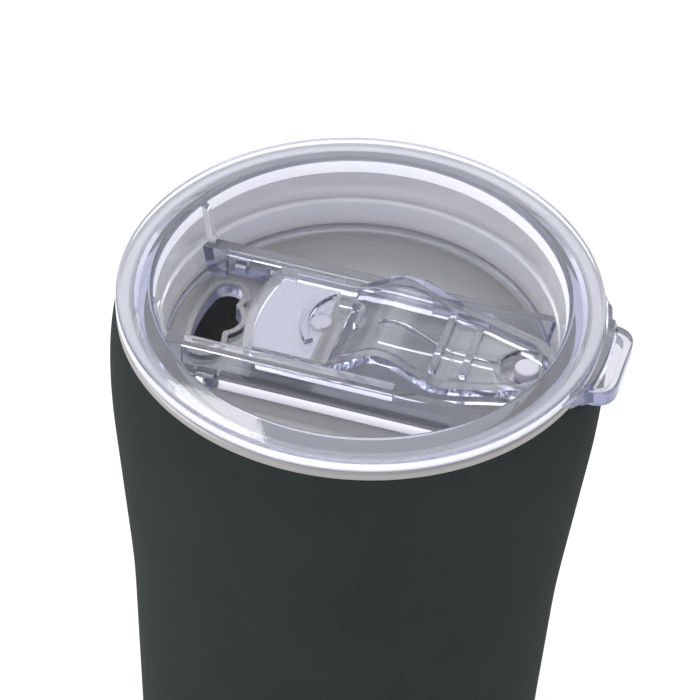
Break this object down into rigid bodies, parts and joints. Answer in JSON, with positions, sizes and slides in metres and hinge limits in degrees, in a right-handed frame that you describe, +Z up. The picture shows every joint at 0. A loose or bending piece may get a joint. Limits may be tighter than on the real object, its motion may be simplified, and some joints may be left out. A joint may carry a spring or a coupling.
{
  "type": "insulated travel mug",
  "caption": "Double-walled vacuum steel tumbler with a clear press-in lid, a recessed sliding drink cover and a pull tab.",
  "frame": {"origin": "middle of the foot pad's underside, on the surface the mug stands on", "axes": "+Z up along the mug's axis; -Y towards the drink hole; +Y towards the lid's pull tab"},
  "size_m": [0.0908, 0.0948, 0.1707],
  "materials": {
    "painted_shell": "fine matte powder coat, dark green grey",
    "bare_steel": "satin brushed stainless steel",
    "liner_steel": "electropolished stainless steel",
    "clear_lid": "clear moulded copolyester, polished",
    "clear_slider": "clear moulded copolyester, polished",
    "clear_silicone": "translucent silicone",
    "white_silicone": "milky white silicone, satin",
    "grey_silicone": "matte grey silicone",
    "foil": "bright thin foil",
    "solder_glass": "dull solder glass",
    "getter_alloy": "pressed metal powder"
  },
  "bodies": {
    "mug": {"outer_shell": "painted_shell", "inner_liner": "liner_steel", "base_plate": "bare_steel", "seal_bead": "solder_glass", "getter_cup": "bare_steel", "getter_pill": "getter_alloy", "radiation_foil": "foil", "foot_pad": "grey_silicone"},
    "lid": {"lid_body": "clear_lid", "lid_gasket": "clear_silicone"},
    "slider": {"slider_body": "clear_slider", "slider_seal": "white_silicone", "vent_plug": "white_silicone"}
  },
  "joints": [
    {"name": "lid_lift", "type": "slide", "parent": "mug", "child": "lid", "axis": [0, 0, 1], "range_m": [0, 0.03]},
    {"name": "slider_close", "type": "slide", "parent": "lid", "child": "slider", "axis": [0, -1, 0], "range_m": [0, 0.0135]}
  ]
}
